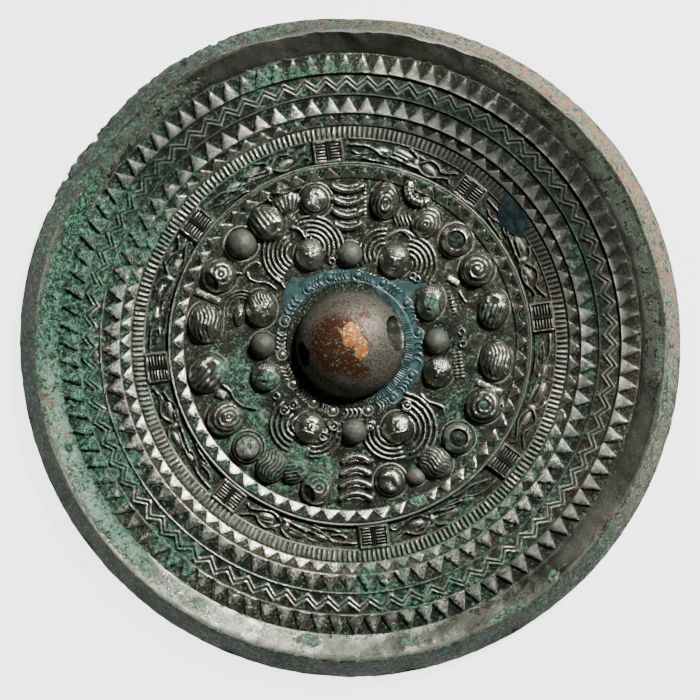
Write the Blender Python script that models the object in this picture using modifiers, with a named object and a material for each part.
"""A cast bronze mirror with a triangular rim, lying on its reflecting face.

Three pieces: the casting, and two modern fills that close its losses. Lengths are in
metres, +Z is up and the origin is under the middle of the disc. Angles are those of a
drawing of the back, anticlockwise from its right side, with a column of leaves at the top.
The whole drawing is turned so that the cord tunnel through the boss lies along X.
"""

import math

import bmesh
import bpy
from mathutils import Matrix, Vector

MM = 0.001
DRAWING_TURN_DEG = -13.0

# Radial widths of the back, from the centre out
BOSS_RADIUS = 18.1 * MM
COLLAR_WIDTH = 2.9 * MM
FIELD_WIDTH = 34.3 * MM
FIELD_SLOPE_WIDTH = 3.7 * MM
BOUNDARY_WIDTH = 1.7 * MM
BEAST_BAND_WIDTH = 7.7 * MM
COMB_BAND_WIDTH = 4.4 * MM
BAND_SLOPE_WIDTH = 3.9 * MM
INNER_SAW_WIDTH = 6.3 * MM
ZIGZAG_WIDTH = 7.0 * MM
OUTER_SAW_WIDTH = 6.9 * MM
RIM_INNER_SLOPE_WIDTH = 7.3 * MM
RIM_CREST_WIDTH = 0.7 * MM
RIM_OUTER_SLOPE_WIDTH = 5.1 * MM
EDGE_DROP_WIDTH = 0.2 * MM

# Heights over the surface that the mirror lies on
FIELD_LEVEL = 1.7 * MM
COLLAR_RISE = 0.5 * MM
BOUNDARY_RISE = 1.8 * MM
BEAST_BAND_RISE = 0.6 * MM
COMB_BAND_RISE = 1.0 * MM
INNER_SAW_RISE = 2.6 * MM
ZIGZAG_RISE = 2.8 * MM
OUTER_SAW_RISE = 3.1 * MM
CREST_LEVEL = 10.8 * MM
EDGE_LEVEL = 2.4 * MM
BOSS_RISE = 13.9 * MM

# The reflecting face: convex, with a flat spot in the middle that it lies on
FACE_RISE = 1.2 * MM
FACE_FLAT_RADIUS = 30.0 * MM
FACE_RINGS = 3

# Sawteeth and zigzag: counts, relief, and how the hand-laid spacing drifts round the ring
OUTER_SAW_COUNT = 100
INNER_SAW_COUNT = 82
ZIGZAG_COUNT = 78
SAW_RELIEF = 0.55 * MM
SAW_TIP_GAP = 0.3 * MM
ZIGZAG_RELIEF = 0.5 * MM
ZIGZAG_LINE_WIDTH = 2.3 * MM
ZIGZAG_MARGIN = 0.4 * MM
OUTER_SAW_OFFSET_DEG = 1.0
OUTER_SAW_DRIFT_DEG = 1.3
INNER_SAW_OFFSET_DEG = 2.4
INNER_SAW_DRIFT_DEG = 1.0
ZIGZAG_OFFSET_DEG = 3.8
ZIGZAG_DRIFT_DEG = 0.7

# Cord tunnel through the boss, wider at its worn end
TUNNEL_CENTRE_RISE = 5.3 * MM
TUNNEL_NARROW_HEIGHT = 6.4 * MM
TUNNEL_WORN_HEIGHT = 9.8 * MM
TUNNEL_WIDTH_SHARE = 1.35
TUNNEL_OVERRUN = 4.0 * MM

# Nipples and heads of the main field
NIPPLE_RING_INSET = 6.2 * MM
NIPPLE_RADIUS = 4.7 * MM
NIPPLE_RISE = 4.6 * MM
INNER_NIPPLE_RING = 8.6 * MM
INNER_NIPPLE_RADIUS = 3.9 * MM
INNER_NIPPLE_RISE = 4.0 * MM
HEAD_RING = 10.3 * MM
HEAD_LENGTH = 8.8 * MM
HEAD_WIDTH = 7.4 * MM
HEAD_RISE = 3.9 * MM
CORNER_ANGLES = (44.0, 137.5, 225.0, 319.0)
CORNER_SIDE_STEP_DEG = 13.3
PAIR_ANGLES = (2.0, 90.0, 180.7, 272.0)
PAIR_HALF_STEPS_DEG = (9.0, 14.0, 11.2, 14.0)
HEAD_HALF_STEPS_DEG = (23.0, 26.0, 22.5, 27.5)

# Leaves stacked in the two columns, and the crowns beside the upper one
LEAF_ANGLES = (90.0, 272.0)
LEAF_COUNT = 4
LEAF_LENGTH = 10.6 * MM
LEAF_WIDTH = 3.0 * MM
LEAF_RISE = 1.6 * MM
LEAF_PITCH = 4.6 * MM
LEAF_OUTER_INSET = 2.6 * MM
CROWN_ANGLES = (64.7, 114.0)
CROWN_LENGTH = 8.4 * MM
CROWN_RISE = 2.2 * MM

# Ribs of the wings that spread beside the heads
WING_RADII = (6.4 * MM, 9.4 * MM)
WING_RIB_RADIUS = 0.75 * MM
WING_SWEEP_DEG = 118.0
WING_RIB_POINTS = 5

# Plaques between the running beasts
PLAQUE_ANGLES = (8.0, 52.0, 96.5, 142.0, 187.0, 231.5, 277.0, 323.0)
PLAQUE_LENGTH = 10.4 * MM
PLAQUE_RISE = 1.5 * MM
PLAQUE_EDGE_SLOPE = 0.7 * MM
PLAQUE_INSET = 0.5 * MM
BEAST_RISE = 0.9 * MM
BEAST_THICKNESS = 1.5 * MM
BEAST_SWAY = 1.7 * MM
BEAST_WAVES = 1.5
BEAST_SPAN_DEG = 25.0
BEAST_POINTS = 9

# Losses and their fills: drawing angles, and shares of the field or the bands they cross
FILL_GAP = 0.3 * MM
BOSS_FILL_RISE = 0.2 * MM
BOSS_FILL_CLEARANCE = 0.7 * MM
BOSS_FILL_OUTER = (
    (164.6, 0.085), (149.4, 0.134), (140.3, 0.210), (131.1, 0.251), (123.2, 0.155), (108.0, 0.135),
    (88.5, 0.122), (69.4, 0.093), (60.0, 0.108), (52.7, 0.169), (36.6, 0.364), (40.3, 0.216),
    (33.9, 0.128), (16.2, 0.061), (9.0, 0.100), (-10.2, 0.100), (-15.8, 0.134), (-24.5, 0.134),
    (-46.4, 0.102), (-56.7, 0.096), (-67.4, 0.020),
)
BOSS_FILL_INNER = ((-60.0, 0.0), (30.0, 0.0), (62.0, 0.35), (70.0, 1.0), (100.0, 0.95), (156.0, 1.0))
FILL_ARC_STEP_DEG = 12.0
SHARPEST_CORNER = 0.5
BAND_FILL_DROP = 0.15 * MM
BAND_FILL_OUTLINE = (
    (44.5, 1.0), (36.0, 1.0), (33.5, 0.85), (31.8, 0.58), (32.5, 0.47), (35.0, 0.36),
    (38.5, 0.25), (41.5, 0.41), (43.5, 0.71),
)

# Bites out of the worn rim: drawing angle, depth and width
EDGE_CHIPS = ((121.0, 0.7, 9.0), (133.5, 0.9, 7.0), (140.5, 1.3, 6.0), (147.0, 0.8, 8.0))
CHIP_SLOPE_SHARE = 0.6
CHIP_SIDES = 6

# How finely round shapes are faceted, and how they are shaded
DISC_STEPS = 60
BOSS_STEPS = 24
BOSS_RINGS = 6
LUMP_SIDES = 10
LUMP_RINGS = 6
LEAF_SIDES = 8
LEAF_RINGS = 4
TUNNEL_SIDES = 12
ROOT_DEPTH = 0.7 * MM
SINK = 0.15 * MM
CUT_MARGIN = 2.0 * MM
WELD_DISTANCE = 0.005 * MM
SHARP_EDGE_DEG = 50.0

# Radii and levels that follow from the widths and rises
COLLAR_RADIUS = BOSS_RADIUS + COLLAR_WIDTH
FIELD_RADIUS = COLLAR_RADIUS + FIELD_WIDTH
BOUNDARY_INNER = FIELD_RADIUS + FIELD_SLOPE_WIDTH
BEAST_BAND_INNER = BOUNDARY_INNER + BOUNDARY_WIDTH
COMB_INNER = BEAST_BAND_INNER + BEAST_BAND_WIDTH
COMB_OUTER = COMB_INNER + COMB_BAND_WIDTH
INNER_SAW_INNER = COMB_OUTER + BAND_SLOPE_WIDTH
ZIGZAG_INNER = INNER_SAW_INNER + INNER_SAW_WIDTH
OUTER_SAW_INNER = ZIGZAG_INNER + ZIGZAG_WIDTH
RIM_FOOT = OUTER_SAW_INNER + OUTER_SAW_WIDTH
CREST_INNER = RIM_FOOT + RIM_INNER_SLOPE_WIDTH
CREST_OUTER = CREST_INNER + RIM_CREST_WIDTH
EDGE_RADIUS = CREST_OUTER + RIM_OUTER_SLOPE_WIDTH
COLLAR_LEVEL = FIELD_LEVEL + COLLAR_RISE
BOUNDARY_LEVEL = FIELD_LEVEL + BOUNDARY_RISE
BEAST_BAND_LEVEL = FIELD_LEVEL + BEAST_BAND_RISE
COMB_LEVEL = FIELD_LEVEL + COMB_BAND_RISE
INNER_SAW_LEVEL = FIELD_LEVEL + INNER_SAW_RISE
ZIGZAG_LEVEL = FIELD_LEVEL + ZIGZAG_RISE
OUTER_SAW_LEVEL = FIELD_LEVEL + OUTER_SAW_RISE


def turned(angle_deg, radius, level=0.0):
    """A point of the back from its drawing angle, its radius and its height."""
    angle = math.radians(angle_deg + DRAWING_TURN_DEG)
    return Vector((radius * math.cos(angle), radius * math.sin(angle), level))


def clear_scene():
    for old in list(bpy.data.objects):
        bpy.data.objects.remove(old, do_unlink=True)


def new_collection(name):
    collection = bpy.data.collections.new(name)
    bpy.context.scene.collection.children.link(collection)
    return collection


def finish_material(name, color, metallic, roughness):
    finish = bpy.data.materials.new(name)
    finish.use_nodes = True
    shader = finish.node_tree.nodes["Principled BSDF"]
    shader.inputs["Base Color"].default_value = (*color, 1.0)
    shader.inputs["Metallic"].default_value = metallic
    shader.inputs["Roughness"].default_value = roughness
    return finish


def add_object(name, shape, collection):
    """A bmesh made an object, its normals pointing out."""
    bmesh.ops.recalc_face_normals(shape, faces=shape.faces)
    mesh = bpy.data.meshes.new(name)
    shape.to_mesh(mesh)
    shape.free()
    mesh.shade_smooth()
    mesh.set_sharp_from_angle(angle=math.radians(SHARP_EDGE_DEG))
    obj = bpy.data.objects.new(name, mesh)
    collection.objects.link(obj)
    return obj


def as_helper(obj):
    """Keeps an object as the source of a Boolean only."""
    obj.hide_render = True
    obj.display_type = "WIRE"
    return obj


def turned_shape(name, profile, steps, smooth, collection):
    """A profile of (radius, level) points, run down its outer side, turned about Z."""
    mesh = bpy.data.meshes.new(name)
    points = [(radius, 0.0, level) for radius, level in profile]
    mesh.from_pydata(points, [(i, i + 1) for i in range(len(points) - 1)], [])
    obj = bpy.data.objects.new(name, mesh)
    collection.objects.link(obj)
    screw = obj.modifiers.new("Turn", "SCREW")
    screw.steps = steps
    screw.render_steps = steps
    screw.use_merge_vertices = True
    screw.merge_threshold = WELD_DISTANCE
    screw.use_smooth_shade = smooth
    return obj


def flat_shape(name, outlines, low, high, collection):
    """Closed outlines filled and made as thick as low to high, as a mesh."""
    curve = bpy.data.curves.new(name, "CURVE")
    curve.dimensions = "2D"
    curve.fill_mode = "BOTH"
    curve.extrude = (high - low) / 2
    for outline in outlines:
        spline = curve.splines.new("POLY")
        spline.points.add(len(outline) - 1)
        for point, place in zip(spline.points, outline):
            point.co = (place[0], place[1], 0.0, 1.0)
        spline.use_cyclic_u = True
    guide = bpy.data.objects.new(name + "_outline", curve)
    collection.objects.link(guide)
    bpy.context.view_layer.update()
    graph = bpy.context.evaluated_depsgraph_get()
    filled = bpy.data.meshes.new_from_object(guide.evaluated_get(graph))
    shape = bmesh.new()
    shape.from_mesh(filled)
    bmesh.ops.remove_doubles(shape, verts=shape.verts, dist=WELD_DISTANCE)
    bmesh.ops.translate(shape, vec=(0.0, 0.0, (low + high) / 2), verts=shape.verts)
    bpy.data.objects.remove(guide, do_unlink=True)
    bpy.data.meshes.remove(filled)
    return add_object(name, shape, collection)


def join(target, collection):
    """Joins all the relief at once: the exact solver leaves faces that its next cut fails on."""
    modifier = target.modifiers.new("Relief", "BOOLEAN")
    modifier.solver = "MANIFOLD"
    modifier.operation = "UNION"
    modifier.operand_type = "COLLECTION"
    modifier.collection = collection


def cut(target, cutter):
    modifier = target.modifiers.new("Cut " + cutter.name, "BOOLEAN")
    modifier.operation = "DIFFERENCE"
    modifier.object = cutter


def disc_profile():
    """The section of the casting, from the centre of the back round to the centre of the face."""
    back = [
        (0.0, COLLAR_LEVEL),
        (COLLAR_RADIUS, COLLAR_LEVEL),
        (COLLAR_RADIUS + EDGE_DROP_WIDTH, FIELD_LEVEL),
        (FIELD_RADIUS, FIELD_LEVEL),
        (BOUNDARY_INNER, BOUNDARY_LEVEL),
        (BEAST_BAND_INNER, BOUNDARY_LEVEL),
        (BEAST_BAND_INNER + EDGE_DROP_WIDTH, BEAST_BAND_LEVEL),
        (COMB_INNER, BEAST_BAND_LEVEL),
        (COMB_INNER + EDGE_DROP_WIDTH, COMB_LEVEL),
        (COMB_OUTER, COMB_LEVEL),
        (INNER_SAW_INNER, INNER_SAW_LEVEL),
        (ZIGZAG_INNER, INNER_SAW_LEVEL),
        (ZIGZAG_INNER + EDGE_DROP_WIDTH, ZIGZAG_LEVEL),
        (OUTER_SAW_INNER, ZIGZAG_LEVEL),
        (OUTER_SAW_INNER + EDGE_DROP_WIDTH, OUTER_SAW_LEVEL),
        (RIM_FOOT, OUTER_SAW_LEVEL),
        (CREST_INNER, CREST_LEVEL),
        (CREST_OUTER, CREST_LEVEL),
        (EDGE_RADIUS, EDGE_LEVEL),
    ]
    face = []
    for ring in range(FACE_RINGS + 1):
        radius = EDGE_RADIUS + (FACE_FLAT_RADIUS - EDGE_RADIUS) * ring / FACE_RINGS
        share = (radius ** 2 - FACE_FLAT_RADIUS ** 2) / (EDGE_RADIUS ** 2 - FACE_FLAT_RADIUS ** 2)
        face.append((radius, FACE_RISE * share))
    return back + face + [(0.0, 0.0)]


def boss_profile():
    """A quarter ellipse over the collar, with a root inside the plate."""
    dome = []
    for ring in range(BOSS_RINGS + 1):
        angle = math.pi / 2 * (1 - ring / BOSS_RINGS)
        dome.append((BOSS_RADIUS * math.cos(angle), FIELD_LEVEL + BOSS_RISE * math.sin(angle)))
    dome[0] = (0.0, FIELD_LEVEL + BOSS_RISE)
    return dome + [(BOSS_RADIUS, FIELD_LEVEL - ROOT_DEPTH), (0.0, FIELD_LEVEL - ROOT_DEPTH)]


def tooth_angle(place, count, offset_deg, drift_deg):
    """The drawing angle of a tooth's tip, or of the valley half a tooth on."""
    even = 360.0 * place / count + offset_deg
    return even + drift_deg * math.cos(math.radians(even))


def saw_outline(count, tip, base, offset_deg, drift_deg):
    outline = []
    for tooth in range(count):
        outline.append(turned(tooth_angle(tooth, count, offset_deg, drift_deg), tip))
        outline.append(turned(tooth_angle(tooth + 0.5, count, offset_deg, drift_deg), base))
    return outline


def circle_outline(radius):
    return [turned(360.0 * step / DISC_STEPS - DRAWING_TURN_DEG, radius) for step in range(DISC_STEPS)]


def saw_ring(name, inner, width, level, count, offset_deg, drift_deg, relief):
    """Flat-topped teeth that point outwards, joined by a narrow band at their bases."""
    start = inner + 2 * EDGE_DROP_WIDTH
    teeth = saw_outline(count, inner + width - SAW_TIP_GAP, start + EDGE_DROP_WIDTH, offset_deg, drift_deg)
    low = level - ROOT_DEPTH
    return flat_shape(name, [teeth, circle_outline(start)], low, level + SAW_RELIEF, relief)


def zigzag_ring(relief):
    """One raised zigzag line between two quiet margins."""
    outer_tip = OUTER_SAW_INNER - ZIGZAG_MARGIN
    outer_base = ZIGZAG_INNER + ZIGZAG_MARGIN + ZIGZAG_LINE_WIDTH
    outlines = [
        saw_outline(ZIGZAG_COUNT, tip, base, ZIGZAG_OFFSET_DEG, ZIGZAG_DRIFT_DEG)
        for tip, base in (
            (outer_tip, outer_base),
            (outer_tip - ZIGZAG_LINE_WIDTH, outer_base - ZIGZAG_LINE_WIDTH),
        )
    ]
    low = ZIGZAG_LEVEL - ROOT_DEPTH
    return flat_shape("zigzag_line", outlines, low, ZIGZAG_LEVEL + ZIGZAG_RELIEF, relief)


def placed(angle_deg, radius, level):
    """Stands a shape at a drawing angle, its own X pointing out from the centre."""
    turn = Matrix.Rotation(math.radians(angle_deg + DRAWING_TURN_DEG), 4, "Z")
    return Matrix.Translation(turned(angle_deg, radius, level)) @ turn


def lump(name, angle_deg, radius, level, size, sides, rings, relief):
    """Half an ellipsoid of (radial, tangential, height) size, rooted in the plate."""
    shape = bmesh.new()
    bmesh.ops.create_uvsphere(shape, u_segments=sides, v_segments=rings, radius=1.0)
    scale = Vector((size[0] / 2, size[1] / 2, size[2]))
    bmesh.ops.scale(shape, vec=scale, verts=shape.verts)
    everything = shape.verts[:] + shape.edges[:] + shape.faces[:]
    below = bmesh.ops.bisect_plane(
        shape, geom=everything, plane_co=(0.0, 0.0, -ROOT_DEPTH), plane_no=(0.0, 0.0, -1.0), clear_outer=True
    )
    rim = [part for part in below["geom_cut"] if isinstance(part, bmesh.types.BMEdge)]
    bmesh.ops.holes_fill(shape, edges=rim)
    bmesh.ops.transform(shape, matrix=placed(angle_deg, radius, level - SINK), verts=shape.verts)
    return add_object(name, shape, relief)


def nipple_angles():
    """The outer ring: three at each corner, and a pair each side of each figure group."""
    angles = []
    for corner in CORNER_ANGLES:
        angles += [corner - CORNER_SIDE_STEP_DEG, corner, corner + CORNER_SIDE_STEP_DEG]
    for middle, step in zip(PAIR_ANGLES, PAIR_HALF_STEPS_DEG):
        angles += [middle - step, middle + step]
    return angles


def field_lumps(relief):
    for number, angle in enumerate(nipple_angles(), 1):
        size = (2 * NIPPLE_RADIUS, 2 * NIPPLE_RADIUS, NIPPLE_RISE)
        lump(
            f"nipple_{number:02d}", angle, FIELD_RADIUS - NIPPLE_RING_INSET, FIELD_LEVEL,
            size, LUMP_SIDES, LUMP_RINGS, relief,
        )
    for number, angle in enumerate(PAIR_ANGLES, 1):
        size = (2 * INNER_NIPPLE_RADIUS, 2 * INNER_NIPPLE_RADIUS, INNER_NIPPLE_RISE)
        lump(
            f"inner_nipple_{number}", angle, COLLAR_RADIUS + INNER_NIPPLE_RING, FIELD_LEVEL,
            size, LUMP_SIDES, LUMP_RINGS, relief,
        )
    for number, (middle, step) in enumerate(zip(PAIR_ANGLES, HEAD_HALF_STEPS_DEG), 1):
        for side in (-1, 1):
            lump(
                f"head_{number}_{'left' if side > 0 else 'right'}", middle + side * step,
                COLLAR_RADIUS + HEAD_RING, FIELD_LEVEL, (HEAD_LENGTH, HEAD_WIDTH, HEAD_RISE),
                LUMP_SIDES, LUMP_RINGS, relief,
            )


def leaves_and_crowns(relief):
    outermost = FIELD_RADIUS - LEAF_OUTER_INSET
    for column, angle in enumerate(LEAF_ANGLES, 1):
        for leaf in range(LEAF_COUNT):
            lump(
                f"leaf_{column}_{leaf + 1}", angle, outermost - leaf * LEAF_PITCH, FIELD_LEVEL,
                (LEAF_WIDTH, LEAF_LENGTH, LEAF_RISE), LEAF_SIDES, LEAF_RINGS, relief,
            )
    for number, angle in enumerate(CROWN_ANGLES, 1):
        lump(
            f"crown_{number}", angle, outermost, FIELD_LEVEL,
            (LEAF_WIDTH, CROWN_LENGTH, CROWN_RISE), LEAF_SIDES, LEAF_RINGS, relief,
        )


def rib(name, path, radius, relief):
    """A four-sided raised line through a few points, half sunk in the plate."""
    curve = bpy.data.curves.new(name, "CURVE")
    curve.dimensions = "3D"
    curve.bevel_depth = radius
    curve.bevel_resolution = 0
    curve.use_fill_caps = True
    spline = curve.splines.new("POLY")
    spline.points.add(len(path) - 1)
    for point, place in zip(spline.points, path):
        point.co = (*place, 1.0)
    guide = bpy.data.objects.new(name + "_route", curve)
    relief.objects.link(guide)
    bpy.context.view_layer.update()
    graph = bpy.context.evaluated_depsgraph_get()
    tube = bpy.data.meshes.new_from_object(guide.evaluated_get(graph))
    shape = bmesh.new()
    shape.from_mesh(tube)
    bmesh.ops.remove_doubles(shape, verts=shape.verts, dist=WELD_DISTANCE)
    bpy.data.objects.remove(guide, do_unlink=True)
    bpy.data.meshes.remove(tube)
    return add_object(name, shape, relief)


def wing_ribs(relief):
    """Ribs curved about each upper and lower head, on the side away from the inner nipple."""
    for pair in (1, 3):
        middle = PAIR_ANGLES[pair]
        step = HEAD_HALF_STEPS_DEG[pair]
        for side in (-1, 1):
            head = turned(middle + side * step, COLLAR_RADIUS + HEAD_RING, FIELD_LEVEL - SINK)
            facing = middle + side * (step + 90.0) + DRAWING_TURN_DEG
            for number, radius in enumerate(WING_RADII, 1):
                path = []
                for point in range(WING_RIB_POINTS):
                    share = point / (WING_RIB_POINTS - 1) - 0.5
                    angle = math.radians(facing + share * WING_SWEEP_DEG)
                    path.append(head + Vector((radius * math.cos(angle), radius * math.sin(angle), 0.0)))
                name = f"wing_{pair}_{'left' if side > 0 else 'right'}_{number}"
                rib(name, path, WING_RIB_RADIUS, relief)


def plaques(relief):
    """Square blocks with sloping sides across the beast band."""
    stretch = (BEAST_BAND_WIDTH - PLAQUE_INSET) / PLAQUE_LENGTH
    for number, angle in enumerate(PLAQUE_ANGLES, 1):
        shape = bmesh.new()
        height = PLAQUE_RISE + ROOT_DEPTH
        corner = math.sqrt(2.0) / 2
        bmesh.ops.create_cone(
            shape, cap_ends=True, segments=4,
            radius1=PLAQUE_LENGTH * corner, radius2=(PLAQUE_LENGTH - 2 * PLAQUE_EDGE_SLOPE) * corner,
            depth=height,
        )
        bmesh.ops.rotate(shape, matrix=Matrix.Rotation(math.pi / 4, 3, "Z"), verts=shape.verts)
        bmesh.ops.scale(shape, vec=(stretch, 1.0, 1.0), verts=shape.verts)
        middle = BEAST_BAND_INNER + BEAST_BAND_WIDTH / 2
        level = BEAST_BAND_LEVEL + height / 2 - ROOT_DEPTH
        bmesh.ops.transform(shape, matrix=placed(angle, middle, level), verts=shape.verts)
        add_object(f"plaque_{number}", shape, relief)


def beasts(relief):
    """One winding body between each two plaques."""
    middle = BEAST_BAND_INNER + BEAST_BAND_WIDTH / 2
    for number, start in enumerate(PLAQUE_ANGLES, 1):
        following = PLAQUE_ANGLES[number % len(PLAQUE_ANGLES)]
        centre = start + ((following - start) % 360.0) / 2
        path = []
        for point in range(BEAST_POINTS):
            share = point / (BEAST_POINTS - 1)
            sway = BEAST_SWAY * math.sin(2.0 * math.pi * BEAST_WAVES * share)
            level = BEAST_BAND_LEVEL + BEAST_RISE - BEAST_THICKNESS / 2
            path.append(turned(centre + (share - 0.5) * BEAST_SPAN_DEG, middle + sway, level))
        rib(f"beast_{number}", path, BEAST_THICKNESS / 2, relief)


def make_relief(relief):
    turned_shape("boss", boss_profile(), BOSS_STEPS, True, relief)
    saw_ring(
        "outer_sawteeth", OUTER_SAW_INNER, OUTER_SAW_WIDTH, OUTER_SAW_LEVEL,
        OUTER_SAW_COUNT, OUTER_SAW_OFFSET_DEG, OUTER_SAW_DRIFT_DEG, relief,
    )
    saw_ring(
        "inner_sawteeth", INNER_SAW_INNER, INNER_SAW_WIDTH, INNER_SAW_LEVEL,
        INNER_SAW_COUNT, INNER_SAW_OFFSET_DEG, INNER_SAW_DRIFT_DEG, relief,
    )
    zigzag_ring(relief)
    field_lumps(relief)
    leaves_and_crowns(relief)
    wing_ribs(relief)
    plaques(relief)
    beasts(relief)


def tunnel_cutter(cutters):
    """A flattened cone along X through the boss."""
    length = 2 * (BOSS_RADIUS + TUNNEL_OVERRUN)
    shape = bmesh.new()
    bmesh.ops.create_cone(
        shape, cap_ends=True, segments=TUNNEL_SIDES,
        radius1=TUNNEL_NARROW_HEIGHT / 2, radius2=TUNNEL_WORN_HEIGHT / 2, depth=length,
    )
    bmesh.ops.rotate(shape, matrix=Matrix.Rotation(math.pi / 2, 3, "Y"), verts=shape.verts)
    bmesh.ops.scale(shape, vec=(1.0, TUNNEL_WIDTH_SHARE, 1.0), verts=shape.verts)
    level = FIELD_LEVEL + TUNNEL_CENTRE_RISE
    bmesh.ops.translate(shape, vec=(0.0, 0.0, level), verts=shape.verts)
    return as_helper(add_object("tunnel_cutter", shape, cutters))


def chip_cutters(cutters):
    """Wedges that bite a little out of the worn edge."""
    made = []
    for number, (angle, depth, width) in enumerate(EDGE_CHIPS, 1):
        reach = CUT_MARGIN + depth * MM
        shape = bmesh.new()
        bmesh.ops.create_cone(
            shape, cap_ends=True, segments=CHIP_SIDES,
            radius1=reach, radius2=reach * CHIP_SLOPE_SHARE, depth=2 * CREST_LEVEL,
        )
        bmesh.ops.scale(shape, vec=(1.0, width * MM / (2 * reach), 1.0), verts=shape.verts)
        place = placed(angle, EDGE_RADIUS + CUT_MARGIN, EDGE_LEVEL)
        bmesh.ops.transform(shape, matrix=place, verts=shape.verts)
        made.append(as_helper(add_object(f"chip_{number}", shape, cutters)))
    return made


def arc_points(outline):
    """Fills a run of (angle, radius) points so that long stretches stay round."""
    points = []
    for (start, near), (end, far) in zip(outline, outline[1:]):
        steps = max(1, round(abs(end - start) / FILL_ARC_STEP_DEG))
        for step in range(steps):
            share = step / steps
            points.append((start + (end - start) * share, near + (far - near) * share))
    return points + [outline[-1]]


def boss_fill_outline():
    outer = [(angle, COLLAR_RADIUS + share * FIELD_WIDTH) for angle, share in BOSS_FILL_OUTER]
    start = BOSS_RADIUS + BOSS_FILL_CLEARANCE
    reach = COLLAR_WIDTH - BOSS_FILL_CLEARANCE
    inner = [(angle, start + share * reach) for angle, share in BOSS_FILL_INNER]
    return [turned(angle, radius) for angle, radius in arc_points(outer) + arc_points(inner)]


def band_fill_outline():
    reach = COMB_OUTER - BEAST_BAND_INNER
    return [turned(angle, BEAST_BAND_INNER + share * reach) for angle, share in BAND_FILL_OUTLINE]


def grown(outline, margin):
    """The outline moved out by a margin, corner by corner."""
    area = sum(a.x * b.y - b.x * a.y for a, b in zip(outline, outline[1:] + outline[:1]))
    out = 1.0 if area > 0 else -1.0
    moved = []
    for before, here, after in zip(outline[-1:] + outline[:-1], outline, outline[1:] + outline[:1]):
        first = (here - before).normalized()
        second = (after - here).normalized()
        one = Vector((first.y, -first.x, 0.0)) * out
        two = Vector((second.y, -second.x, 0.0)) * out
        corner = (one + two).normalized()
        moved.append(here + corner * margin / max(corner.dot(one), SHARPEST_CORNER))
    return moved


def make_fill(name, outline, level, finish, parts, cutters):
    """A fill set in its loss, and the cutter that opens the loss a gap wider."""
    fill = flat_shape(name, [outline], face_level(outline), level, parts)
    fill.data.materials.append(finish)
    hole = flat_shape(
        name + "_loss", [grown(outline, FILL_GAP)], -CUT_MARGIN, CREST_LEVEL + BOSS_RISE, cutters
    )
    return as_helper(hole)


def face_level(outline):
    """The height of the convex face under the outermost point of an outline."""
    radius = max(point.length for point in outline)
    share = (radius ** 2 - FACE_FLAT_RADIUS ** 2) / (EDGE_RADIUS ** 2 - FACE_FLAT_RADIUS ** 2)
    return FACE_RISE * max(share, 0.0)


def main():
    clear_scene()
    parts = new_collection("bronze_mirror")
    relief = new_collection("relief_to_join")
    cutters = new_collection("cutters")
    bronze = finish_material("patinated_bronze", (0.10, 0.11, 0.09), 0.7, 0.45)
    teal = finish_material("teal_fill", (0.06, 0.14, 0.15), 0.0, 0.5)
    dark_teal = finish_material("dark_teal_fill", (0.02, 0.05, 0.055), 0.0, 0.4)

    mirror = turned_shape("mirror", disc_profile(), DISC_STEPS, False, parts)
    mirror.data.materials.append(bronze)
    make_relief(relief)
    for helper in relief.objects:
        as_helper(helper)
    join(mirror, relief)
    cut(mirror, tunnel_cutter(cutters))
    for outline, name, level, finish in (
        (boss_fill_outline(), "boss_repair_fill", FIELD_LEVEL + BOSS_FILL_RISE, teal),
        (band_fill_outline(), "band_repair_fill", BEAST_BAND_LEVEL - BAND_FILL_DROP, dark_teal),
    ):
        cut(mirror, make_fill(name, outline, level, finish, parts, cutters))
    for chip in chip_cutters(cutters):
        cut(mirror, chip)


main()
